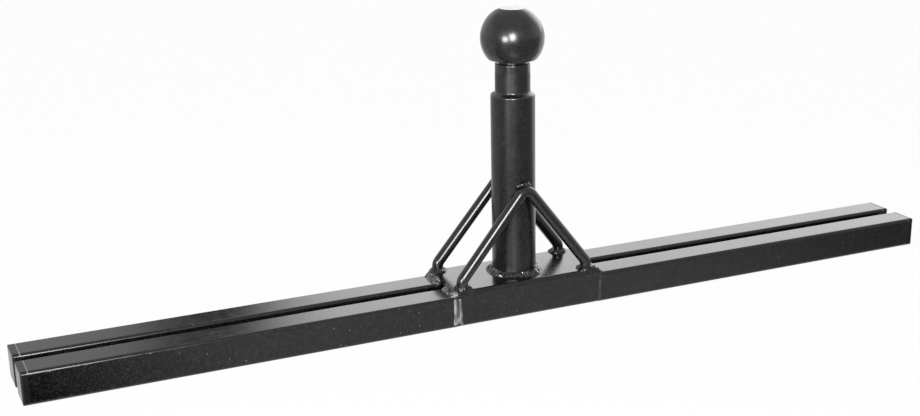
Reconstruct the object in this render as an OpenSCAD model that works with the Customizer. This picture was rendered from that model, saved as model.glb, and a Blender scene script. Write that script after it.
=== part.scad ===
// Tow ball mounting bar: a coupling ball on a braced post, welded to a bar of paired square tubes.
// X runs along the bar, Y from front to rear, Z up. The origin is at the middle of the underside.

/* [Rails] */
// Outer side of the square rail tube
rail_size = 25; // [20:1:30]
// Wall of the rail tube
rail_wall = 2; // [1.5:0.5:3]
// Outer corner radius of the rail tube
rail_corner = 2.5; // [1.5:0.5:4]
// Inner corner radius of the rail tube
rail_bore_corner = 0.5; // [0.3:0.1:1]
// Length of each rail, from the centre block to its end cap
rail_len = 320; // [200:5:500]
// Width of the bolt slot between the front and rear rails
slot_w = 10; // [8:1:16]

/* [Centre block] */
// Length of the centre block along the bar
block_len = 125; // [115:1:200]
// Height by which the block's top stands above the rails
block_step = 4; // [3:0.5:8]
// Wall of the block's rectangular tube
block_wall = 3; // [2:0.5:4]
// Outer corner radius of the block's tube
block_corner = 3; // [2:0.5:4]
// Inner corner radius of the block's tube
block_bore_corner = 1; // [0.5:0.5:2]

/* [Post] */
// Outer diameter of the post tube
post_d = 35; // [30:0.1:40]
// Wall of the post tube
post_wall = 3.5; // [2.6:0.1:4]
// Length of the post tube
post_len = 143; // [110:1:180]

/* [Tow ball] */
// Diameter of the coupling ball
ball_d = 50; // [48:0.1:52]
// Diameter of the flat on top of the ball
ball_flat_d = 20; // [14:1:26]
// Width of the ring-shaped face under the ball, around the neck
ball_seat_w = 5.4; // [4:0.1:7]
// Height of the ball's underside above the post
neck_len = 29; // [16:0.5:40]
// Rounding of the neck's upper edge
neck_round = 1.2; // [0.5:0.1:1.5]
// Height of the waist between the neck and the ball's underside
waist_h = 3; // [2:0.5:5]
// Distance by which the waist is set in from the neck's side
waist_inset = 3; // [2:0.5:5]
// Depth of the ball's spigot inside the post
spigot_len = 40; // [20:1:60]
// Chamfer at the lower end of the spigot
spigot_chamfer = 1.5; // [0.5:0.5:3]
// Radial clearance of the spigot in the post
spigot_fit = 0.15; // [0.05:0.05:0.3]

/* [End caps] */
// Thickness of the cap's flange outside the tube
cap_flange = 5; // [3:0.5:8]
// Rounding of the flange's outer edges
cap_round = 1.6; // [0.8:0.2:2.4]
// Length of the cap's plug inside the tube
cap_plug_len = 18; // [12:1:30]
// Wall of the hollow plug
cap_plug_wall = 2; // [1.5:0.5:3]
// Number of gripping ribs around the plug
cap_ribs = 3; // [2:1:4]
// Height of a gripping rib above the plug
cap_rib_h = 1.3; // [0.8:0.1:2]
// Thickness of a gripping rib
cap_rib_t = 1.4; // [1:0.2:2]
// Clearance between the ribs and the tube's bore
cap_fit = 0.2; // [0.1:0.05:0.4]

/* [Braces] */
// Diameter of the brace's round bar
rod_d = 9; // [8:0.5:12]
// Height of the brace's apex, on the bar's centreline, above the block
brace_h = 70.5; // [50:0.5:90]
// Distance from the block's end to the centre of a brace's foot, before the shift
brace_end_inset = 8; // [8:0.5:20]
// Distance from the block's face to the centre of a brace's foot
brace_edge_inset = 5.7; // [5:0.1:8]
// Distance by which the braces' feet sit to the left
brace_shift = 2; // [0:0.5:2]
// Bend radius at the apex, on the bar's centreline
apex_bend = 6.5; // [6.5:0.5:14]
// Bend radius at the foot, on the bar's centreline
foot_bend = 7; // [6:0.5:14]
// Length of straight bar between a foot's weld and its bend
foot_stub = 0.5; // [0.5:0.5:4]
// Clearance between the apex and the post
apex_gap = 0.2; // [0.1:0.1:0.5]

/* [Welds] */
// Leg of the fillet weld around the foot of the post
post_weld = 5.5; // [3:0.5:7]
// Height of the weld that closes the top of the post against the neck
neck_weld_h = 4.4; // [3:0.1:6]
// Leg of the fillet weld around a brace's foot
foot_weld = 3.6; // [3:0.1:5]
// Width of a foot weld at its top, around the bar
foot_weld_top = 1; // [0.8:0.1:1.5]
// Distance from the block's face to the edge of a foot weld
foot_weld_edge = 0.5; // [0.3:0.1:1]
// Radius of the bead that ties a brace's apex to the post
apex_bead = 3; // [2:0.5:4]
// Angle of the apex bead to each side of the top
apex_bead_angle = 32; // [25:1:50]
// Length of the weld on a rail's top, along the rail
rail_weld_len = 6; // [4:0.5:8]
// Distance from a rail's sides to the ends of the weld on its top
rail_weld_edge = 0.5; // [0.3:0.1:1]
// Width of the bead on a rail's side
side_bead_w = 8; // [5:0.5:10]
// Height of the left beads above the rail's side
side_bead_rise = 1; // [0.5:0.1:1.5]
// Height of the right beads, which are ground down, above the rail's side
dressed_bead_rise = 0.4; // [0.2:0.1:0.8]

/* [Hidden] */
$fn = 64;
// Length by which a cutting shape runs past the face it opens
eps = 1;

block_w = 2 * rail_size + slot_w;
block_h = rail_size + block_step;
block_end = block_len / 2;
rail_end = block_end + rail_len;
rail_y = (slot_w + rail_size) / 2;
rail_bore = rail_size - 2 * rail_wall;

post_r = post_d / 2;
post_top = block_h + post_len;
spigot_r = post_r - post_wall - spigot_fit;
ball_r = ball_d / 2;
ball_flat_z = sqrt(ball_r * ball_r - pow(ball_flat_d / 2, 2));
ball_seat_z = sqrt(ball_r * ball_r - pow(spigot_r + ball_seat_w, 2));
ball_z = post_top + neck_len + ball_seat_z;

rod_r = rod_d / 2;
foot_x = block_end - brace_end_inset;
foot_y = block_w / 2 - brace_edge_inset;
apex_y = post_r + apex_gap + rod_r;
lean = asin((foot_y - apex_y) / brace_h);

stub_h = foot_weld + foot_stub;
// Height at which a foot ends above the block, so that the leaning bar clears it
foot_gap = rod_r * tan(abs(lean));
leg_rise = brace_h - apex_bend - stub_h;
// Angle by which a bend runs past the plane that trims it
bend_overrun = 6;

LEFT = -1;
RIGHT = 1;
FRONT = -1;
REAR = 1;
steel = "#2a2a2c";
weld = "#343436";
plastic = "#1d1d1f";

// Rectangle centred on the origin with round corners
module rounded_rect(width, height, radius) {
    square([width - 2 * radius, height], center = true);
    square([width, height - 2 * radius], center = true);
    for (x = [-1, 1], y = [-1, 1])
        translate([x * (width / 2 - radius), y * (height / 2 - radius)]) circle(r = radius);
}

// Turns a drawing in the plane of Y and Z into a bar along X, from x = 0
module along_x(length) {
    rotate([90, 0, 90]) linear_extrude(height = length) children();
}

// Corner fill with legs of the given width and height and a crowned face
module fillet_profile(width, height) {
    chord = norm([width, height]);
    intersection() {
        square([width, height]);
        translate([width / 2 - height, height / 2 - width]) circle(r = norm([chord / 2, chord]));
    }
}

// Places a piece drawn in the left front quarter in the quarter asked for
module quarter(side, face) {
    mirror([side == RIGHT ? 1 : 0, 0, 0]) mirror([0, face == REAR ? 1 : 0, 0]) children();
}

// Bar along X with the outer section of the centre block, without its bore
module block_bar(start, length) {
    translate([start, 0, block_h / 2]) along_x(length) rounded_rect(block_w, block_h, block_corner);
}

// Outer shape of the centre block
module block_shape() {
    block_bar(-block_end, block_len);
}

module centre_block() {
    color(steel) difference() {
        block_shape();
        translate([-block_end - eps, 0, block_h / 2]) along_x(block_len + 2 * eps)
            rounded_rect(block_w - 2 * block_wall, block_h - 2 * block_wall, block_bore_corner);
    }
}

// Outer shape of the front left rail, without its bore; it can run on past the joint with the block
module rail_shape(overrun = 0) {
    translate([-rail_end, -rail_y, rail_size / 2]) along_x(rail_len + overrun)
        rounded_rect(rail_size, rail_size, rail_corner);
}

module rail(side, face) {
    color(steel) quarter(side, face) difference() {
        rail_shape();
        translate([-rail_end - eps, -rail_y, rail_size / 2]) along_x(rail_len + 2 * eps)
            rounded_rect(rail_bore, rail_bore, rail_bore_corner);
    }
}

// Flange of an end cap, with its outer face at x = 0 and its seat at x = cap_flange
module cap_flange_shape() {
    half = rail_size / 2;
    depth = cap_flange + 2 * cap_round;
    intersection() {
        along_x(cap_flange) rounded_rect(rail_size, rail_size, rail_corner);
        translate([depth / 2, half, 0]) rotate([90, 0, 0]) linear_extrude(height = rail_size)
            rounded_rect(depth, rail_size, cap_round);
        translate([depth / 2, 0, -half]) linear_extrude(height = rail_size)
            rounded_rect(depth, rail_size, cap_round);
    }
}

module end_cap(side, face) {
    rib_side = rail_bore - 2 * cap_fit;
    plug_side = rib_side - 2 * cap_rib_h;
    rib_pitch = cap_plug_len / cap_ribs;
    color(plastic) quarter(side, face) translate([-rail_end - cap_flange, -rail_y, rail_size / 2]) {
        cap_flange_shape();
        translate([cap_flange, 0, 0]) difference() {
            union() {
                along_x(cap_plug_len) square(plug_side, center = true);
                for (i = [0 : cap_ribs - 1])
                    translate([(i + 0.5) * rib_pitch - cap_rib_t / 2, 0, 0])
                        along_x(cap_rib_t) rounded_rect(rib_side, rib_side, rail_bore_corner);
            }
            along_x(cap_plug_len + eps) square(plug_side - 2 * cap_plug_wall, center = true);
        }
    }
}

module post_tube() {
    color(steel) translate([0, 0, block_h]) difference() {
        cylinder(h = post_len, d = post_d);
        translate([0, 0, -eps]) cylinder(h = post_len + 2 * eps, r = post_r - post_wall);
    }
}

module tow_ball() {
    neck_h = spigot_len + neck_len - waist_h - spigot_chamfer;
    color(steel) union() {
        translate([0, 0, ball_z]) intersection() {
            sphere(d = ball_d, $fn = 128);
            translate([0, 0, -ball_seat_z]) cylinder(h = ball_seat_z + ball_flat_z, r = ball_d);
        }
        translate([0, 0, post_top + neck_len - waist_h - eps])
            cylinder(h = waist_h + 2 * eps, r = spigot_r - waist_inset);
        translate([0, 0, post_top - spigot_len + spigot_chamfer]) rotate_extrude() {
            square([spigot_r - neck_round, neck_h]);
            square([spigot_r, neck_h - neck_round]);
            translate([spigot_r - neck_round, neck_h - neck_round]) circle(r = neck_round);
        }
        translate([0, 0, post_top - spigot_len])
            cylinder(h = spigot_chamfer, r1 = spigot_r - spigot_chamfer, r2 = spigot_r);
    }
}

// Quarter of a ring about an axis along Y, swept from +X towards +Z
module bend(radius, angle) {
    rotate([90, 0, 0]) rotate_extrude(angle = angle) translate([radius, 0]) circle(d = rod_d);
}

// Leg's slope from vertical, so that it is tangent to both bends, whose centres lie run apart along X
function leg_angle(run) =
    acos((apex_bend - foot_bend) / norm([run, leg_rise])) - atan2(leg_rise, run);

function leg_len(run) =
    (run + (foot_bend - apex_bend) * cos(leg_angle(run))) / sin(leg_angle(run));

// Bar that rises from the middle of a foot's bend, drawn about the bend's centre
module half_bend(angle, length) {
    reach = 2 * block_len;
    intersection() {
        rotate([0, -angle / 2, 0]) translate([foot_bend, 0, 0]) {
            cylinder(h = length, d = rod_d);
            translate([-foot_bend, 0, 0]) mirror([0, 0, 1]) bend(foot_bend, angle / 2 + bend_overrun);
            translate([-apex_bend, 0, length]) children();
        }
        translate([-reach / 2, -rod_d, 0]) cube([reach, 2 * rod_d, reach]);
    }
}

// Right half of a brace in the plane of X and Z, trimmed at the middle
module half_brace(foot_distance) {
    run = foot_distance - foot_bend;
    angle = leg_angle(run);
    intersection() {
        translate([run, 0, stub_h]) rotate([0, -angle / 2, 0]) {
            half_bend(angle, leg_len(run)) bend(apex_bend, 90 - angle + bend_overrun);
            mirror([0, 0, 1]) half_bend(angle, stub_h - foot_gap);
        }
        translate([0, -rod_d, -rod_d]) cube([block_len, 2 * rod_d, brace_h + 2 * rod_d]);
    }
}

// Whole bar of the front brace
module brace_bar() {
    translate([0, -foot_y, block_h]) rotate([-lean, 0, 0]) {
        half_brace(foot_x - brace_shift);
        mirror([1, 0, 0]) half_brace(foot_x + brace_shift);
    }
}

module brace(face) {
    color(steel) quarter(LEFT, face) brace_bar();
}

module neck_weld() {
    color(weld) translate([0, 0, post_top]) rotate_extrude() translate([spigot_r, 0])
        fillet_profile(post_r - spigot_r, neck_weld_h);
}

module post_base_weld() {
    color(weld) translate([0, 0, block_h]) rotate_extrude() translate([post_r, 0])
        fillet_profile(post_weld, post_weld);
}

// Bead over the apex of a brace, between its bar and the post
module apex_weld(face) {
    color(weld) quarter(LEFT, face) difference() {
        translate([0, -post_r, block_h + brace_h * cos(lean) - apex_bend]) rotate([90, 0, 0])
            rotate([0, 0, 90 - apex_bead_angle]) rotate_extrude(angle = 2 * apex_bead_angle)
                translate([apex_bend + rod_r, 0]) circle(r = apex_bead);
        translate([0, 0, block_h]) cylinder(h = post_len, d = post_d);
        brace_bar();
    }
}

// Conical weld around a brace's foot, running down over the block's rounded edge
module foot_weld(side, face) {
    slope = (foot_weld - foot_weld_top) / foot_weld;
    face_y = block_w / 2 - foot_weld_edge;
    color(weld) quarter(LEFT, face) difference() {
        intersection() {
            translate([side * foot_x - brace_shift, -foot_y, block_h - block_corner])
                cylinder(
                    h = foot_weld + block_corner,
                    r1 = rod_r + foot_weld + slope * block_corner,
                    r2 = rod_r + foot_weld_top
                );
            translate([-block_end, -face_y, 0]) cube([block_len, face_y, block_h + foot_weld + eps]);
        }
        translate([side * foot_x - brace_shift, -foot_y, block_h]) rotate([-lean, 0, 0])
            cylinder(h = 4 * rod_d, d = rod_d, center = true);
        block_shape();
    }
}

// Fillet weld on a rail's top, running down over the rail's rounded edges
module rail_top_weld() {
    difference() {
        intersection() {
            translate([-block_end, -slot_w / 2 - rail_weld_edge, rail_size])
                rotate([90, 0, 0]) mirror([1, 0, 0])
                    linear_extrude(height = rail_size - 2 * rail_weld_edge) {
                        fillet_profile(rail_weld_len, block_step);
                        translate([0, -rail_corner]) square([rail_weld_len, rail_corner]);
                    }
            block_bar(-block_end - rail_weld_len - eps, rail_weld_len + 2 * eps);
        }
        rail_shape(eps);
    }
}

// Crowned bead across the joint, down a rail's outer side
module rail_side_weld(rise) {
    radius = (pow(side_bead_w / 2, 2) + rise * rise) / (2 * rise);
    difference() {
        intersection() {
            translate([-block_end, radius - rise - block_w / 2, rail_corner])
                cylinder(h = rail_size - rail_corner, r = radius);
            translate([-block_end - side_bead_w, -block_w / 2 - rise - eps, 0])
                cube([2 * side_bead_w, rise + eps + rail_corner, rail_size + eps]);
        }
        rail_shape(eps);
        block_shape();
    }
}

module rail_weld(side, face) {
    color(weld) quarter(side, face) {
        rail_top_weld();
        rail_side_weld(side == LEFT ? side_bead_rise : dressed_bead_rise);
    }
}

tow_ball();
post_tube();
centre_block();
rail(LEFT, FRONT);  // rail_left_front
rail(LEFT, REAR);  // rail_left_rear
rail(RIGHT, FRONT);  // rail_right_front
rail(RIGHT, REAR);  // rail_right_rear
end_cap(LEFT, FRONT);  // end_cap_left_front
end_cap(LEFT, REAR);  // end_cap_left_rear
end_cap(RIGHT, FRONT);  // end_cap_right_front
end_cap(RIGHT, REAR);  // end_cap_right_rear
brace(FRONT);  // brace_front
brace(REAR);  // brace_rear
neck_weld();
post_base_weld();
apex_weld(FRONT);  // apex_weld_front
apex_weld(REAR);  // apex_weld_rear
foot_weld(LEFT, FRONT);  // foot_weld_left_front
foot_weld(LEFT, REAR);  // foot_weld_left_rear
foot_weld(RIGHT, FRONT);  // foot_weld_right_front
foot_weld(RIGHT, REAR);  // foot_weld_right_rear
rail_weld(LEFT, FRONT);  // rail_weld_left_front
rail_weld(LEFT, REAR);  // rail_weld_left_rear
rail_weld(RIGHT, FRONT);  // rail_weld_right_front
rail_weld(RIGHT, REAR);  // rail_weld_right_rear
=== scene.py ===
"""Looks of the tow ball mounting bar: black coated steel, lumpy welds and moulded end caps.

Everything is in metres, in the frame of the CAD model: X along the bar, Y from front to rear, Z up.
"""
import math

import bpy
from mathutils import Matrix, Vector, noise


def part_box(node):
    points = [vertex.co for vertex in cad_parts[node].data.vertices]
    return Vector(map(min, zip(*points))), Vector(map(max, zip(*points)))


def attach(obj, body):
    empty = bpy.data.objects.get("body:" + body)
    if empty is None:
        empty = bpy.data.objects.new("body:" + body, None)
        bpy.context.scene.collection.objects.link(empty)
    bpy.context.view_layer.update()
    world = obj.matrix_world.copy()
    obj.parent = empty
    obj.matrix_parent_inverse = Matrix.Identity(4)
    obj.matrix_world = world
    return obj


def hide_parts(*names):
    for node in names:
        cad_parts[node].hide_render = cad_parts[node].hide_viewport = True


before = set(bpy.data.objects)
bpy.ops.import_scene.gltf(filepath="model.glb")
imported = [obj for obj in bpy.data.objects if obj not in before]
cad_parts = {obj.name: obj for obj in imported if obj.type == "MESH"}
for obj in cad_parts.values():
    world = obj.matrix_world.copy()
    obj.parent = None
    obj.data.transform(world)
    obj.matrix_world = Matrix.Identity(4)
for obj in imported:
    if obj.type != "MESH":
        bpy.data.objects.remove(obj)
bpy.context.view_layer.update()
scene = bpy.context.scene

MM = 0.001

# ---------------------------------------------------------------- sizes that the CAD model gives
_, block_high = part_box("centre_block")
rail_low, rail_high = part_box("rail_left_front")
_, post_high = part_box("post_tube")
BLOCK_END = block_high.x
BLOCK_SIDE = block_high.y
BLOCK_TOP = block_high.z
RAIL_TOP = rail_high.z
RAIL_END = -rail_low.x
RAIL_INNER = -rail_high.y
POST_R = post_high.x
POST_TOP = post_high.z

# Sizes that these boxes don't show
RAIL_CORNER = 2.5 * MM
BLOCK_CORNER = 3 * MM
NECK_R = 13.85 * MM
ROD_R = 4.5 * MM
FOOT_X, FOOT_Y = 54.5 * MM, 24.3 * MM
FOOT_SHIFT = 2 * MM
APEX_BEND_Z = 92.97 * MM
APEX_BEAD_R = 11 * MM
BALL = Vector((0, 0, 217 * MM))


# ---------------------------------------------------------------- node helpers
class Nodes:
    """A small wrapper that adds shader nodes and links to one tree."""

    def __init__(self, tree):
        self.tree = tree
        tree.nodes.clear()

    def add(self, kind, **values):
        node = self.tree.nodes.new(kind)
        for key, value in values.items():
            setattr(node, key, value)
        return node

    def link(self, source, target):
        self.tree.links.new(source, target)

    def put(self, socket, value):
        """Sets a socket to a number or colour, or links it to another socket."""
        if hasattr(value, "links"):
            self.link(value, socket)
        else:
            socket.default_value = value

    def output(self, shader, kind="Material"):
        self.link(shader, self.add(f"ShaderNodeOutput{kind}").inputs["Surface"])

    def split(self, vector):
        """The X, Y and Z of a vector."""
        node = self.add("ShaderNodeSeparateXYZ")
        self.link(vector, node.inputs["Vector"])
        return node.outputs["X"], node.outputs["Y"], node.outputs["Z"]

    def math(self, operation, a, b=0.0):
        node = self.add("ShaderNodeMath", operation=operation)
        self.put(node.inputs[0], a)
        self.put(node.inputs[1], b)
        return node.outputs[0]

    def product(self, result, *factors):
        for factor in factors:
            result = self.math("MULTIPLY", result, factor)
        return result

    def remap(self, value, from_min, from_max, to_min, to_max):
        node = self.add("ShaderNodeMapRange")
        for name, number in (
            ("From Min", from_min), ("From Max", from_max), ("To Min", to_min), ("To Max", to_max)
        ):
            node.inputs[name].default_value = number
        self.put(node.inputs["Value"], value)
        return node.outputs["Result"]

    def ramp(self, value, from_min, from_max, to_min, to_max):
        """Like remap, with soft ends."""
        result = self.remap(value, from_min, from_max, to_min, to_max)
        result.node.interpolation_type = "SMOOTHSTEP"
        return result

    def band(self, value, rise, fall):
        """1 between two soft edges and 0 outside; an edge is where it starts and where it ends."""
        return self.product(self.ramp(value, *rise, 0.0, 1.0), self.ramp(value, *fall, 1.0, 0.0))

    def mix_shader(self, factor, a, b):
        node = self.add("ShaderNodeMixShader")
        self.put(node.inputs["Fac"], factor)
        self.link(a, node.inputs[1])
        self.link(b, node.inputs[2])
        return node.outputs["Shader"]

    def mix_colour(self, factor, a, b):
        node = self.add("ShaderNodeMix", data_type="RGBA")
        self.put(node.inputs["Factor"], factor)
        self.put(node.inputs["A"], a)
        self.put(node.inputs["B"], b)
        return node.outputs["Result"]

    def noise(self, vector, per_metre, detail=2.0, roughness=0.5):
        node = self.add("ShaderNodeTexNoise")
        self.put(node.inputs["Vector"], vector)
        node.inputs["Scale"].default_value = per_metre
        node.inputs["Detail"].default_value = detail
        node.inputs["Roughness"].default_value = roughness
        return node.outputs["Fac"]

    def bump(self, height, distance, strength, normal=None):
        node = self.add("ShaderNodeBump")
        node.inputs["Strength"].default_value = strength
        node.inputs["Distance"].default_value = distance
        self.put(node.inputs["Height"], height)
        if normal is not None:
            self.link(normal, node.inputs["Normal"])
        return node.outputs["Normal"]


def grey(level):
    return (level, level, level, 1.0)


def add_object(name, data):
    made = bpy.data.objects.new(name, data)
    scene.collection.objects.link(made)
    return made


def new_material(name):
    material = bpy.data.materials.new(name)
    material.use_nodes = True
    tree = Nodes(material.node_tree)
    shader = tree.add("ShaderNodeBsdfPrincipled")
    tree.output(shader.outputs["BSDF"])
    place = tree.add("ShaderNodeTexCoord").outputs["Object"]
    return material, tree, shader, place


# ---------------------------------------------------------------- materials
# Noise patterns: features per metre, detail and roughness
PATCHES, MOTTLE = (14.0, 4.0, 0.6), (160.0, 3.0, 0.6)
PEEL, GRAIN = (620.0, 2.0, 0.5), (950.0, 2.0, 0.6)
SMEARS, SPATTER = (300.0, 3.0, 0.6), (800.0, 2.0, 0.5)
STREAKS = (420.0, 4.0, 0.7)
CLOUDS, CAP_GRAIN = (120.0, 4.0, 0.6), (1700.0, 3.0, 0.65)

# Heights of the bumps
PEEL_H, GRAIN_H, RING_H = 0.12 * MM, 0.03 * MM, 0.03 * MM
SPATTER_H, STREAK_H, CAP_GRAIN_H = 0.4 * MM, 0.3 * MM, 0.2 * MM

# Dust: cells per metre, radius of a speck in cells, and the share of cells that hold one
DUST_CELLS, DUST_R, DUST_SHARE = 250.0, 0.13, 0.22

COAT_DEEP, COAT_THIN, COAT_MOTTLE, COAT_GRAIN = grey(0.001), grey(0.003), grey(0.012), grey(0.023)
# Grey of dust specks, and the grey of the painted highlight lines on the rails
DUST, HIGHLIGHT_GREY = grey(0.2), grey(0.3)
# The second black is the left side bead's dark coat and the painted shade in its groove
WELD_BLACK, GROOVE_BLACK, BEAD_GREY = grey(0.004), grey(0.02), grey(0.3)
CAP_DEEP, CAP_CLOUD, CAP_SCUFF = grey(0.006), grey(0.012), grey(0.03)

# Painted highlight: the band just inside a rail's outer end where the pale line goes
END_HIGHLIGHT_LINE = (RAIL_END - 0.9 * MM, RAIL_END - 0.6 * MM)
# Painted highlight: place and half width of the faint line along a right rail's joint
SEAM_X = BLOCK_END + 0.3 * MM
SEAM_HALF = (0.2 * MM, 2.0 * MM)
BALL_FOOT = (189 * MM, 193 * MM)
FLAT_TOP = (0.96, 0.99)
RINGS_PER_METRE = 260.0
WELD_IOR, CAP_IOR = 1.5, 1.42


def specks(tree, place, share):
    """Mask of sparse dust specks: a small disc in some of the cells of a scattered pattern."""
    cells = tree.add("ShaderNodeTexVoronoi", feature="F1")
    tree.link(place, cells.inputs["Vector"])
    cells.inputs["Scale"].default_value = DUST_CELLS
    split = tree.add("ShaderNodeSeparateColor")
    tree.link(cells.outputs["Color"], split.inputs["Color"])
    chosen = tree.math("LESS_THAN", split.outputs[0], share)
    disc = tree.remap(cells.outputs["Distance"], DUST_R * 0.5, DUST_R, 1.0, 0.0)
    return tree.product(disc, chosen)


def coated_steel(
    name, roughness=0.18, peel_depth=0.07, dusty=0.0, ior=1.57,
    turned=False, end_highlight=False, seam_highlight=False,
):
    """Satin black powder coat with orange peel, dull patches and a share of dusty cells.

    turned adds the ball's tool rings and clear coat, and makes the neck below it duller. The end
    flag paints a pale highlight line on top of a rail's outer end, where its cut edge catches
    light. The seam flag paints a faint pale highlight line along the ground joint of a right rail.
    """
    material, tree, shader, place = new_material(name)
    x, _, z = tree.split(place)
    _, _, facing_up = tree.split(tree.add("ShaderNodeNewGeometry").outputs["Normal"])
    patches = tree.noise(place, *PATCHES)
    mottle = tree.noise(place, *MOTTLE)
    peel = tree.noise(place, *PEEL)
    grain = tree.noise(place, *GRAIN)
    dust = specks(tree, place, dusty)

    colour = tree.mix_colour(tree.remap(patches, 0.3, 0.7, 0.0, 1.0), COAT_DEEP, COAT_THIN)
    colour = tree.mix_colour(tree.remap(mottle, 0.5, 0.75, 0.0, 0.5), colour, COAT_MOTTLE)
    colour = tree.mix_colour(tree.remap(grain, 0.5, 0.69, 0.0, 0.7), colour, COAT_GRAIN)
    colour = tree.mix_colour(tree.product(dust, 0.7), colour, DUST)
    # Painted highlight: a pale line on top of a rail's outer end, where the cut edge catches light
    if end_highlight:
        bare_and_highlight = tree.product(
            tree.remap(tree.math("ABSOLUTE", x), *END_HIGHLIGHT_LINE, 0.0, 1.0),
            tree.ramp(facing_up, 0.2, 0.6, 0.0, 1.0),
            tree.remap(mottle, 0.35, 0.6, 0.35, 1.0),
        )
        colour = tree.mix_colour(bare_and_highlight, colour, HIGHLIGHT_GREY)
    # Painted highlight: a faint pale line along a right rail's ground joint
    if seam_highlight:
        off_seam = tree.math("ABSOLUTE", tree.math("SUBTRACT", x, SEAM_X))
        joint_highlight = tree.product(
            tree.ramp(off_seam, *SEAM_HALF, 0.13, 0.0), tree.remap(mottle, 0.4, 0.62, 0.1, 1.0)
        )
        colour = tree.mix_colour(joint_highlight, colour, HIGHLIGHT_GREY)
    tree.link(colour, shader.inputs["Base Color"])

    rough = tree.remap(patches, 0.25, 0.75, roughness - 0.03, roughness + 0.04)
    rough = tree.math("ADD", rough, tree.remap(mottle, 0.4, 0.8, 0.0, 0.05))
    rough = tree.math("ADD", rough, tree.product(dust, 0.3))
    normal = tree.bump(peel, PEEL_H, peel_depth)
    normal = tree.bump(grain, GRAIN_H, 0.06, normal)
    if turned:
        on_ball = tree.ramp(z, *BALL_FOOT, 0.0, 1.0)
        rough = tree.product(
            rough,
            tree.remap(facing_up, *FLAT_TOP, 1.0, 0.95),
            tree.remap(on_ball, 0.0, 1.0, 1.35, 1.0),
        )
        coat = tree.product(on_ball, tree.remap(facing_up, *FLAT_TOP, 0.35, 0.2))
        tree.link(coat, shader.inputs["Coat Weight"])
        shader.inputs["Coat Roughness"].default_value = 0.12
        rings = tree.add("ShaderNodeTexWave", wave_type="BANDS", bands_direction="Z")
        tree.link(place, rings.inputs["Vector"])
        rings.inputs["Scale"].default_value = RINGS_PER_METRE
        rings.inputs["Distortion"].default_value = 0.6
        rings.inputs["Detail"].default_value = 2.0
        normal = tree.bump(rings.outputs["Fac"], RING_H, 0.25, normal)
    tree.link(rough, shader.inputs["Roughness"])
    tree.link(normal, shader.inputs["Normal"])
    shader.inputs["IOR"].default_value = ior
    return material


def weld_metal(name, bare_and_highlight):
    """A black coat over weld metal; bare is the share of thin, greyish coat on the lumps."""
    material, tree, shader, place = new_material(name)
    smears = tree.noise(place, *SMEARS)
    spatter = tree.noise(place, *SPATTER)
    wear_and_groove_shade = tree.remap(smears, 0.62 - 0.3 * bare_and_highlight, 0.82 - 0.2 * bare_and_highlight, 0.0, 1.0)
    colour = tree.mix_colour(wear_and_groove_shade, WELD_BLACK, grey(0.03 + 0.34 * bare_and_highlight))
    tree.link(colour, shader.inputs["Base Color"])
    rough = tree.remap(spatter, 0.3, 0.7, 0.08, 0.18)
    rough = tree.math("ADD", rough, tree.product(wear_and_groove_shade, 0.2))
    tree.link(rough, shader.inputs["Roughness"])
    tree.link(tree.bump(spatter, SPATTER_H, 0.6), shader.inputs["Normal"])
    tree.link(tree.remap(smears, 0.3, 0.7, 0.4, 0.75), shader.inputs["Specular IOR Level"])
    shader.inputs["IOR"].default_value = WELD_IOR
    return material


def bead_metal(name):
    """Streaky grey weld metal of a left side bead, with painted shade in the groove between its two
    ridges and a darker small arch at its foot.
    """
    material, tree, shader, place = new_material(name)
    x, _, z = tree.split(place)
    drawn = tree.add("ShaderNodeVectorMath", operation="MULTIPLY")
    drawn.inputs[1].default_value = (1.0, 1.0, 0.3)
    tree.link(place, drawn.inputs[0])
    streaks = tree.noise(drawn.outputs[0], *STREAKS)
    off_joint = tree.math("ABSOLUTE", tree.math("ADD", x, BLOCK_END))
    # Painted shade: the groove at the joint between the two ridges is darkened, except near the
    # bead's foot
    ridge = tree.ramp(off_joint, 0.3 * MM, 1.5 * MM, 0.15, 1.0)
    ridge = tree.math("MAXIMUM", ridge, tree.ramp(z, 6 * MM, 11 * MM, 1.0, 0.0))
    # Darker in a small arch at the foot of the joint
    arch = tree.math("ADD", z, tree.product(off_joint, 0.8))
    wear_and_groove_shade = tree.product(
        ridge,
        tree.remap(streaks, 0.4, 0.64, 0.1, 1.0),
        tree.ramp(arch, 3 * MM, 5 * MM, 0.1, 1.0),
    )
    tree.link(tree.mix_colour(wear_and_groove_shade, GROOVE_BLACK, BEAD_GREY), shader.inputs["Base Color"])
    tree.link(tree.remap(streaks, 0.3, 0.7, 0.22, 0.42), shader.inputs["Roughness"])
    tree.link(tree.bump(streaks, STREAK_H, 0.3), shader.inputs["Normal"])
    shader.inputs["IOR"].default_value = WELD_IOR
    return material


def moulded_plastic(name):
    """Black polythene with a spark-eroded grain and pale scuffs."""
    material, tree, shader, place = new_material(name)
    grain = tree.noise(place, *CAP_GRAIN)
    clouds = tree.noise(place, *CLOUDS)
    colour = tree.mix_colour(tree.remap(clouds, 0.35, 0.75, 0.0, 1.0), CAP_DEEP, CAP_CLOUD)
    colour = tree.mix_colour(tree.remap(grain, 0.6, 0.85, 0.0, 0.5), colour, CAP_SCUFF)
    tree.link(colour, shader.inputs["Base Color"])
    tree.link(tree.remap(grain, 0.3, 0.7, 0.14, 0.36), shader.inputs["Roughness"])
    tree.link(tree.bump(grain, CAP_GRAIN_H, 0.16), shader.inputs["Normal"])
    shader.inputs["IOR"].default_value = CAP_IOR
    return material


steel = coated_steel("coated_steel", dusty=DUST_SHARE)
post_coat = coated_steel("post_coat", roughness=0.27)
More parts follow.
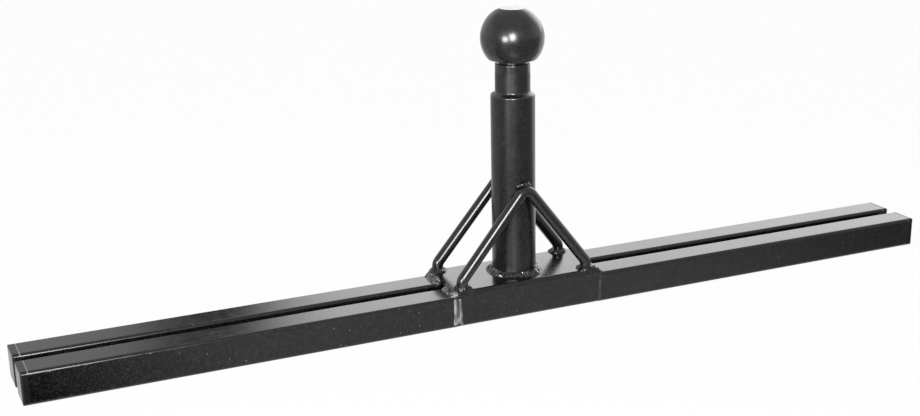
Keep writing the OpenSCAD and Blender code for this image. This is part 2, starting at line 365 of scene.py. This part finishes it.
# The rails' coat also paints a pale highlight line on top of their outer ends
rail_coat = coated_steel("rail_coat", dusty=DUST_SHARE, end_highlight=True)
rod_coat = coated_steel("rod_coat", roughness=0.2, peel_depth=0.02, ior=1.68)
neck_coat = coated_steel("neck_coat", roughness=0.19, peel_depth=0.01, ior=1.7)
ball_coat = coated_steel("ball_coat", roughness=0.25, peel_depth=0.12, turned=True)
weld_black = weld_metal("weld_black", 0.05)
weld_dull = weld_metal("weld_dull", 0.65)
weld_patchy = weld_metal("weld_patchy", 0.45)
# The right beads' coat paints a faint highlight line along the joint
weld_ground = coated_steel("weld_ground", dusty=DUST_SHARE, seam_highlight=True)
weld_base = coated_steel("weld_coat", roughness=0.11, peel_depth=0.2, ior=1.85)
weld_grey = bead_metal("weld_grey")
plastic = moulded_plastic("cap_plastic")

# Material by the start of a node's name; other nodes are plain coated steel
LOOKS = {
    "tow_ball": ball_coat,
    "post_tube": post_coat,
    "brace": rod_coat,
    "rail_left": rail_coat,
    "rail_right": rail_coat,
    "end_cap": plastic,
}
for node_name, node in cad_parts.items():
    looks = next((m for start, m in LOOKS.items() if node_name.startswith(start)), steel)
    node.data.materials.clear()
    node.data.materials.append(looks)


# ---------------------------------------------------------------- weld beads
STEP = 0.4 * MM
EXPOSED = 14
BURY = 1.2 * MM
TOE_CUT = 0.2 * MM
UP = Vector((0, 0, 1))

# Legs of the ring welds: outwards and upwards
POST_LEGS = (4.8 * MM, 3.8 * MM)
FOOT_LEGS = (3.5 * MM, 2.9 * MM)
FOOT_SIDE_GAP, FOOT_END_GAP = 0.4 * MM, 0.3 * MM

NECK_H = 4.3 * MM
NECK_SLOPE = math.radians(60)
NECK_POINTS = 14

APEX_HALF = math.radians(36)
APEX_THICK = 2.7 * MM
APEX_OFF_POST = 1.0 * MM
APEX_STEPS, APEX_SIDES = 48, 20

TOP_REACH = 5.4 * MM
TOP_INSET = 0.6 * MM
SIDE_LOW, SIDE_HIGH = 1.6 * MM, RAIL_TOP - 1.0 * MM
SIDE_STEPS = 26
SIDE_BURY = 1.0 * MM

# A side bead's rise, and the middle and width of each of its ridges, from -1 to 1 across it
LEFT_RISE, LEFT_RIDGES = 1.0 * MM, ((-0.55, 0.26), (0.55, 0.24))
RIGHT_RISE, RIGHT_RIDGES = 0.4 * MM, ((0.1, 0.14),)

POST_SEED, NECK_SEED, APEX_SEED, FOOT_SEED, RAIL_SEED = 3, 11, 20, 30, 50


def lump(point, size, seed):
    """Smooth noise from about -1 to 1, with features of the given size."""
    return noise.noise(point / size + Vector((seed * 7.3, seed * 3.1, seed * 5.7))) * 1.6


def wander(point, size, seed, amount):
    """Factor around 1 that varies slowly by place."""
    return 1.0 + amount * lump(point, size, seed)


def ripple(along, across, pitch):
    """Height from 0 to 1 of the crescent ripples that a weld pool leaves."""
    return abs(math.sin(math.pi * (along / pitch + 0.55 * (2 * across - 1) ** 2))) ** 0.7


def smooth(value, low, high):
    """Soft step from 0 at low to 1 at high."""
    t = max(0.0, min(1.0, (value - low) / (high - low)))
    return t * t * (3 - 2 * t)


def edge_drop(distance, corner):
    """Depth of a rounded edge below its face, at a distance from the side (0 is on the side)."""
    if distance >= corner:
        return 0.0
    return corner - math.sqrt(max(0.0, corner**2 - (corner - max(distance, 0.0)) ** 2))


class Surface:
    """Collects rings of points and turns them into closed tubes."""

    def __init__(self):
        self.verts, self.faces, self.slots = [], [], []

    def tube(self, rings, closed, flip, material=0):
        first, count = len(self.verts), len(rings[0])
        for ring in rings:
            self.verts.extend(ring)
        last = len(rings) if closed else len(rings) - 1
        for i in range(last):
            a, b = first + i * count, first + (i + 1) % len(rings) * count
            for j in range(count):
                k = (j + 1) % count
                face = (a + j, a + k, b + k, b + j)
                self.faces.append(face[::-1] if flip else face)
        if not closed:
            start = tuple(first + j for j in range(count))
            end = tuple(first + (len(rings) - 1) * count + j for j in range(count))
            self.faces.append(start if flip else start[::-1])
            self.faces.append(end[::-1] if flip else end)
        self.slots.extend([material] * (len(self.faces) - len(self.slots)))

    def piece(self, name, node, *materials):
        mesh = bpy.data.meshes.new(name)
        mesh.from_pydata([tuple(v) for v in self.verts], [], self.faces)
        mesh.polygons.foreach_set("use_smooth", [True] * len(mesh.polygons))
        for material in materials:
            mesh.materials.append(material)
        mesh.polygons.foreach_set("material_index", self.slots)
        mesh.update()
        made = add_object(name, mesh)
        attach(made, "root")
        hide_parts(node)


def fillet_ring(
    root, out, along, seed, legs, base=0.0, crown=0.5, rough=0.5, size=5 * MM, pitch=2.3 * MM
):
    """One cross-section of a fillet weld: a crowned, rippled face, closed below the surfaces.

    legs are (outwards, upwards), crown and rough are in millimetres, and base is the height of
    the outer toe.
    """
    leg_out, leg_up = legs
    face = (out * leg_up + UP * leg_out).normalized()
    points = []
    for i in range(EXPOSED):
        t = i / (EXPOSED - 1)
        chord = out * (leg_out * (1 - t)) + UP * (leg_up * t + base * (1 - t))
        spot = root + chord
        body = math.sin(math.pi * t) ** 0.6 if 0 < t < 1 else 0.0
        rise = crown * MM * 4 * t * (1 - t)
        lumps = lump(spot, size, seed) + 0.45 * lump(spot, 0.4 * size, seed + 4)
        rise += body * rough * MM * lumps
        rise += body * 0.5 * rough * MM * (ripple(along, t, pitch) - 0.6)
        points.append(spot + face * rise)
    points.append(root - out * BURY + UP * (leg_up - TOE_CUT))
    points.append(root - out * BURY + UP * (base - BURY))
    points.append(root + out * (leg_out - TOE_CUT) + UP * (base - BURY))
    return points


def circle_fillet(surface, centre, radius, legs, seed, floor=None, uneven=0.14, **shape):
    """Ring fillet around an upright round bar or tube.

    floor, where given, limits the reach and returns it with the height of the surface below.
    """
    count = int(2 * math.pi * (radius + legs[0] / 2) / STEP)
    rings = []
    for i in range(count):
        angle = 2 * math.pi * i / count
        out = Vector((math.cos(angle), math.sin(angle), 0))
        root = centre + out * radius
        reach = legs[0] * wander(root, 7 * MM, seed + 1, uneven)
        height = legs[1] * wander(root, 6 * MM, seed + 2, uneven)
        base = 0.0
        if floor is not None:
            reach, base = floor(root, out, reach)
        rings.append(fillet_ring(root, out, radius * angle, seed, (reach, height), base, **shape))
    surface.tube(rings, True, True)


def post_base_weld():
    surface = Surface()
    circle_fillet(
        surface, Vector((0, 0, BLOCK_TOP)), POST_R, POST_LEGS, POST_SEED,
        uneven=0.32, crown=0.3, rough=0.95, size=7 * MM, pitch=4.5 * MM,
    )
    surface.piece("weld_post_base", "post_base_weld", weld_base)


def neck_weld():
    """Smooth weld from the post's edge up to the neck: a round edge, a slope and a hollow toe."""
    surface = Surface()
    count = int(2 * math.pi * POST_R / STEP)
    step_in = POST_R - NECK_R
    turns = [NECK_SLOPE * j / NECK_POINTS for j in range(NECK_POINTS + 1)]
    rings = []
    for i in range(count):
        angle = 2 * math.pi * i / count
        out = Vector((math.cos(angle), math.sin(angle), 0))
        height = NECK_H * wander(out * POST_R, 14 * MM, NECK_SEED, 0.06)
        arc = height * math.sin(NECK_SLOPE) - step_in * math.cos(NECK_SLOPE)
        arc /= 2 - 2 * math.cos(NECK_SLOPE)
        spots = [(arc * (1 - math.cos(t)), arc * math.sin(t)) for t in turns]
        spots += [(step_in - inset, height - rise) for inset, rise in reversed(spots)]
        ring = [out * (POST_R - inset) + Vector((0, 0, POST_TOP + rise)) for inset, rise in spots]
        buried = (
            (NECK_R - BURY, height - TOE_CUT), (NECK_R - BURY, -BURY), (POST_R - 0.3 * MM, -BURY)
        )
        for radius, level in buried:
            ring.append(out * radius + Vector((0, 0, POST_TOP + level)))
        rings.append(ring)
    surface.tube(rings, True, True)
    surface.piece("weld_neck", "neck_weld", neck_coat)


def foot_weld(name, side, face, seed):
    """Ring weld of a brace's foot, kept on the block's top."""
    side_limit, end_limit = BLOCK_SIDE - FOOT_SIDE_GAP, BLOCK_END - FOOT_END_GAP

    def floor(root, out, reach):
        if out.y * face > 1e-6:
            reach = min(reach, (side_limit - root.y * face) / (out.y * face))
        if out.x * side > 1e-6:
            reach = min(reach, (end_limit - root.x * side) / (out.x * side))
        toe = root + out * reach
        return reach, -edge_drop(BLOCK_SIDE - toe.y * face, BLOCK_CORNER)

    surface = Surface()
    centre = Vector((side * FOOT_X - FOOT_SHIFT, face * FOOT_Y, BLOCK_TOP))
    circle_fillet(
        surface, centre, ROD_R, FOOT_LEGS, seed, floor, uneven=0.22, crown=0.15, rough=0.6
    )
    surface.piece(name.replace("foot_weld", "weld_foot"), name, weld_black)


def apex_weld(name, face, seed):
    """Bead in the groove between a brace's apex and the post, thinning out at both ends."""
    surface = Surface()
    back = Vector((0, face, 0))
    rings = []
    for i in range(APEX_STEPS + 1):
        angle = -APEX_HALF + 2 * APEX_HALF * i / APEX_STEPS
        out = Vector((math.sin(angle), 0, math.cos(angle)))
        centre = Vector((0, 0, APEX_BEND_Z)) + out * APEX_BEAD_R
        centre.y = face * (math.sqrt(POST_R**2 - centre.x**2) + APEX_OFF_POST)
        taper = 0.25 + 0.75 * math.sqrt(max(0.0, 1 - (angle / APEX_HALF) ** 2))
        ring = []
        for j in range(APEX_SIDES):
            turn = 2 * math.pi * j / APEX_SIDES
            ray = out * math.cos(turn) + back * math.sin(turn)
            spot = centre + ray * (taper * APEX_THICK)
            swell = 0.3 * lump(spot, 4 * MM, seed) + 0.18 * lump(spot, 1.8 * MM, seed + 2)
            swell += 0.25 * (ripple(angle * APEX_BEAD_R, j / APEX_SIDES, 2.2 * MM) - 0.6)
            ring.append(spot + ray * (swell * MM * taper))
        rings.append(ring)
    surface.tube(rings, False, face > 0)
    surface.piece(name.replace("apex_weld", "weld_apex"), name, weld_black)


def rail_top_bead(surface, side, face, seed, rough, crown):
    """Fillet on a rail's top, against the taller block."""
    out = Vector((side, 0, 0))
    start, end = RAIL_INNER + TOP_INSET, BLOCK_SIDE - TOP_INSET
    count = int((end - start) / STEP)
    rings = []
    for i in range(count + 1):
        y = start + (end - start) * i / count
        root = Vector((side * BLOCK_END, face * y, RAIL_TOP))
        edge = min(y - RAIL_INNER, BLOCK_SIDE - y)
        base = -edge_drop(edge, RAIL_CORNER)
        top = BLOCK_TOP - RAIL_TOP - edge_drop(BLOCK_SIDE - y, BLOCK_CORNER)
        ends = 0.35 + 0.65 * smooth(edge, 0.4 * MM, 3.5 * MM)
        legs = TOP_REACH * wander(root, 6 * MM, seed + 1, 0.16) * ends, top - 0.1 * MM
        rings.append(fillet_ring(root, out, y, seed, legs, base, crown * ends, rough * ends))
    surface.tube(rings, False, side * face > 0)


def rail_side_bead(surface, side, face, seed, rise, ridges):
    """Bead down a rail's outer side: two lumpy ridges, or one low one that was ground down."""
    count = int((SIDE_HIGH - SIDE_LOW) / STEP)
    rings = []
    for i in range(count + 1):
        z = SIDE_LOW + (SIDE_HIGH - SIDE_LOW) * i / count
        side_y = BLOCK_SIDE - edge_drop(min(z, RAIL_TOP - z), RAIL_CORNER)
        ends = smooth(min(z - SIDE_LOW, SIDE_HIGH - z), -0.2 * MM, 1.6 * MM)
        half = (3.5 + 0.6 * smooth(RAIL_TOP - z, 0.5 * RAIL_TOP, RAIL_TOP)) * MM
        middle = side * BLOCK_END + 0.4 * MM * lump(Vector((0, 0, z)), 8 * MM, seed)
        ring = []
        for j in range(SIDE_STEPS + 1):
            a = -1 + 2 * j / SIDE_STEPS
            spot = Vector((middle + a * half, face * side_y, z))
            shape = sum(math.exp(-(((a - ridge) / width) ** 2)) for ridge, width in ridges)
            level = shape * (0.7 + 0.3 * lump(spot, 4 * MM, seed + 1))
            level += 0.12 * (ripple(z, (a + 1) / 2, 1.9 * MM) - 0.5) * (1 - a * a)
            level = max(0.0, min(1.0, level)) * (1 - a**4) * ends
            height = rise * 0.97 * level - 0.08 * MM * (1 - ends)
            ring.append(spot + Vector((0, face * height, 0)))
        for end in (half, -half):
            ring.append(Vector((middle + end, face * (side_y - SIDE_BURY), z)))
        rings.append(ring)
    surface.tube(rings, False, face > 0, material=1)


def rail_weld(name, side, face, seed):
    surface = Surface()
    if side < 0:
        rail_top_bead(surface, side, face, seed, rough=0.75, crown=0.25)
        rail_side_bead(surface, side, face, seed + 5, LEFT_RISE, LEFT_RIDGES)
        looks = (weld_dull, weld_grey)
    else:
        rail_top_bead(surface, side, face, seed, rough=0.35, crown=0.3)
        rail_side_bead(surface, side, face, seed + 5, RIGHT_RISE, RIGHT_RIDGES)
        looks = (weld_patchy, weld_ground)
    surface.piece(name.replace("rail_weld", "weld_rail"), name, *looks)


post_base_weld()
neck_weld()
SIDES = (("left", -1), ("right", 1))
FACES = (("front", -1), ("rear", 1))
for f, (face_name, face_sign) in enumerate(FACES):
    apex_weld(f"apex_weld_{face_name}", face_sign, APEX_SEED + f)
    for s, (side_name, side_sign) in enumerate(SIDES):
        place_name = f"{side_name}_{face_name}"
        foot_weld(f"foot_weld_{place_name}", side_sign, face_sign, FOOT_SEED + 4 * f + s)
        rail_weld(f"rail_weld_{place_name}", side_sign, face_sign, RAIL_SEED + 4 * f + s)


# ---------------------------------------------------------------- camera
IMAGE_W, IMAGE_H = 920, 416
CAM_PLACE = Vector((-486.709, -1002.712, 417.461)) * MM
CAM_YAW, CAM_PITCH, CAM_ROLL = (math.radians(a) for a in (26.891, 18.282, -0.102))
FOCAL_PX, AXIS_X, AXIS_Y = 1460.723, 538.0, 245.1
SENSOR = 36.0

forward = Vector((
    math.sin(CAM_YAW) * math.cos(CAM_PITCH),
    math.cos(CAM_YAW) * math.cos(CAM_PITCH),
    -math.sin(CAM_PITCH),
))
right = Vector((math.cos(CAM_YAW), -math.sin(CAM_YAW), 0))
upward = right.cross(forward)
tilted_right = math.cos(CAM_ROLL) * right + math.sin(CAM_ROLL) * upward
tilted_up = -math.sin(CAM_ROLL) * right + math.cos(CAM_ROLL) * upward
camera_data = bpy.data.cameras.new("camera")
camera_data.sensor_fit = "HORIZONTAL"
camera_data.sensor_width = SENSOR
camera_data.lens = FOCAL_PX * SENSOR / IMAGE_W
camera_data.shift_x = (IMAGE_W / 2 - AXIS_X) / IMAGE_W
camera_data.shift_y = (AXIS_Y - IMAGE_H / 2) / IMAGE_W
camera_data.clip_start, camera_data.clip_end = 0.01, 100.0
camera = add_object("camera", camera_data)
axes = Matrix((tilted_right, tilted_up, -forward)).transposed().to_4x4()
camera.matrix_world = Matrix.Translation(CAM_PLACE) @ axes
scene.camera = camera


# ---------------------------------------------------------------- floor, world and lights
# A pair of numbers below is a soft edge: where it starts and where it ends
FLOOR_HALF = 20.0
FLOOR_Z = -0.5 * MM
FLOOR_MATT = grey(0.9)
FLOOR_GLOW = 0.97
FLOOR_SHINE, FLOOR_SHINE_ROUGHNESS = 0.1, 0.35
WHITE = grey(1.0)

# Painted shade for reflections: a darker strip of the floor along the bar's front, and dimmer floor
# in front of it, as steel close to it mirrors it: edges and levels
STRIP_FRONT, STRIP_BACK, STRIP_LEFT = (-0.14, -0.11), (-0.036, -0.030), (-0.393, -0.385)
STRIP_DARK_LEFT, STRIP_DARK_RIGHT = (-0.39, -0.2), (0.1, 0.42)
STRIP_LEVEL, STRIP_RIGHT_LEVEL = 0.68, 0.4
FRONT_LEVEL = 0.5

# The floor as steel further off mirrors it, with painted shade in front and towards the left
FAR_RAY = (0.1, 0.15)
FAR_BACK, FAR_FRONT_LEVEL = (-0.1, 0.02), grey(0.33)
FAR_LEFT, FAR_LEFT_LEVEL = (-0.25, 0.1), 0.6

# Painted pool of light: a white patch in front of the post, for both
PATCH_Y = (-0.25, -0.17), (-0.13, -0.1)
PATCH_X = (-0.17, -0.1), (-0.03, 0.03)

# World: azimuths in degrees from the camera's heading, heights as the Z of a direction
DOME_Z, DOME_LOW, DOME_HIGH = (0.4, 0.65), 0.8, 0.58
REAR_TURN, REAR_Z, REAR_DIM = (85.0, 115.0), (0.5, 0.8), 0.22
PANEL_TURN = (-11.8, -9.2), (45.0, 60.0)
PANEL_Z = (0.0, 0.06), (0.5, 0.75)
PANEL_LEVEL = 1.6
GAP_TURN, GAP_Z, GAP_DEPTH = ((-16.6, -14.8), (-11.9, -10.6)), (0.5, 0.6), 0.85
AMBIENT = grey(0.35)

# Lamps, aimed at the ball: name, azimuth, elevation, distance, width and height, watts
LAMPS = (
    ("key_by_camera", 178, 11.5, 0.85, (0.32, 0.38), 6.0),
    ("key_left", -156, 4, 1.3, (0.44, 0.4), 8.8),
)


def make_floor():
    """White floor that glows to the camera; to glossy rays it shows painted light and shade by
    place, which the coat mirrors.
    """
    mesh = bpy.data.meshes.new("floor")
    corners = [(-1, -1), (1, -1), (1, 1), (-1, 1)]
    mesh.from_pydata(
        [(x * FLOOR_HALF, y * FLOOR_HALF, FLOOR_Z) for x, y in corners], [], [(0, 1, 2, 3)]
    )
    floor = add_object("floor", mesh)
    material = bpy.data.materials.new("floor_white")
    material.use_nodes = True
    tree = Nodes(material.node_tree)
    rays = tree.add("ShaderNodeLightPath").outputs
    x, y, _ = tree.split(tree.add("ShaderNodeTexCoord").outputs["Object"])

    # Painted shade that only glossy rays see, along the bar's front
    strip = tree.product(
        tree.band(y, STRIP_FRONT, STRIP_BACK), tree.ramp(x, *STRIP_LEFT, 0.0, 1.0)
    )
    strip_level = tree.product(
        tree.ramp(x, *STRIP_DARK_LEFT, 0.0, STRIP_LEVEL),
        tree.ramp(x, *STRIP_DARK_RIGHT, 1.0, STRIP_RIGHT_LEVEL),
    )
    near = tree.mix_colour(strip, tree.ramp(y, *STRIP_BACK, FRONT_LEVEL, 1.0), strip_level)
    far = tree.mix_colour(
        tree.ramp(y, *FAR_BACK, 0.0, 1.0),
        FAR_FRONT_LEVEL,
        tree.ramp(x, *FAR_LEFT, FAR_LEFT_LEVEL, 1.0),
    )
    mirrored = tree.mix_colour(tree.ramp(rays["Ray Length"], *FAR_RAY, 0.0, 1.0), near, far)
    # Painted pool of light in front of the post
    patch = tree.product(tree.band(y, *PATCH_Y), tree.band(x, *PATCH_X))
    mirrored = tree.mix_colour(patch, mirrored, WHITE)

    glow = tree.add("ShaderNodeEmission")
    tree.link(tree.mix_colour(rays["Is Glossy Ray"], WHITE, mirrored), glow.inputs["Color"])
    matt = tree.add("ShaderNodeBsdfDiffuse")
    matt.inputs["Color"].default_value = FLOOR_MATT
    gloss = tree.add("ShaderNodeBsdfGlossy")
    tree.link(mirrored, gloss.inputs["Color"])
    gloss.inputs["Roughness"].default_value = FLOOR_SHINE_ROUGHNESS
    shine = tree.mix_shader(FLOOR_SHINE, glow.outputs["Emission"], gloss.outputs["BSDF"])
    seen = tree.mix_shader(
        tree.product(rays["Is Camera Ray"], FLOOR_GLOW),
        matt.outputs["BSDF"],
        glow.outputs["Emission"],
    )
    tree.output(tree.mix_shader(rays["Is Glossy Ray"], seen, shine))
    mesh.materials.append(material)


def make_world():
    """White to the camera; mirrored, a dome with a bright panel at the back and a dark gap."""
    world = bpy.data.worlds.new("studio")
    scene.world = world
    world.use_nodes = True
    tree = Nodes(world.node_tree)
    rays = tree.add("ShaderNodeLightPath").outputs
    turned = tree.add("ShaderNodeVectorRotate", rotation_type="Z_AXIS")
    turned.inputs["Angle"].default_value = CAM_YAW
    tree.link(tree.add("ShaderNodeTexCoord").outputs["Generated"], turned.inputs["Vector"])
    x, y, z = tree.split(turned.outputs["Vector"])
    turn = tree.product(tree.math("ARCTAN2", x, y), 180 / math.pi)

    panel = tree.product(tree.band(turn, *PANEL_TURN), tree.band(z, *PANEL_Z), PANEL_LEVEL)
    gap = tree.product(tree.band(turn, *GAP_TURN), tree.ramp(z, *GAP_Z, GAP_DEPTH, 0.0))
    rear = tree.product(
        tree.ramp(tree.math("ABSOLUTE", turn), *REAR_TURN, 0.0, REAR_DIM),
        tree.ramp(z, *REAR_Z, 1.0, 0.0),
    )
    bright = tree.math("SUBTRACT", tree.ramp(z, *DOME_Z, DOME_LOW, DOME_HIGH), rear)
    bright = tree.math("ADD", bright, panel)
    bright = tree.math("SUBTRACT", bright, gap)
    level = tree.mix_colour(rays["Is Glossy Ray"], AMBIENT, bright)
    level = tree.mix_colour(rays["Is Camera Ray"], level, WHITE)
    background = tree.add("ShaderNodeBackground")
    tree.link(level, background.inputs["Color"])
    tree.output(background.outputs["Background"], "World")


def around(azimuth, elevation, distance):
    """Point around the ball, at an azimuth from the camera's heading (positive to its right)."""
    angle = CAM_YAW + math.radians(azimuth)
    rise = math.radians(elevation)
    flat = math.cos(rise)
    ray = Vector((math.sin(angle) * flat, math.cos(angle) * flat, math.sin(rise)))
    return BALL + distance * ray


def area_light(name, place, size, watts):
    data = bpy.data.lights.new(name, "AREA")
    data.shape = "ELLIPSE"
    data.size, data.size_y = size
    data.energy = watts
    light = add_object(name, data)
    light.location = place
    light.rotation_euler = (BALL - place).to_track_quat("-Z", "Y").to_euler()
    light.visible_camera = False


make_floor()
make_world()
for lamp_name, azimuth, elevation, distance, size, watts in LAMPS:
    area_light(lamp_name, around(azimuth, elevation, distance), size, watts)

scene.view_settings.view_transform = "Standard"

bpy.context.view_layer.update()
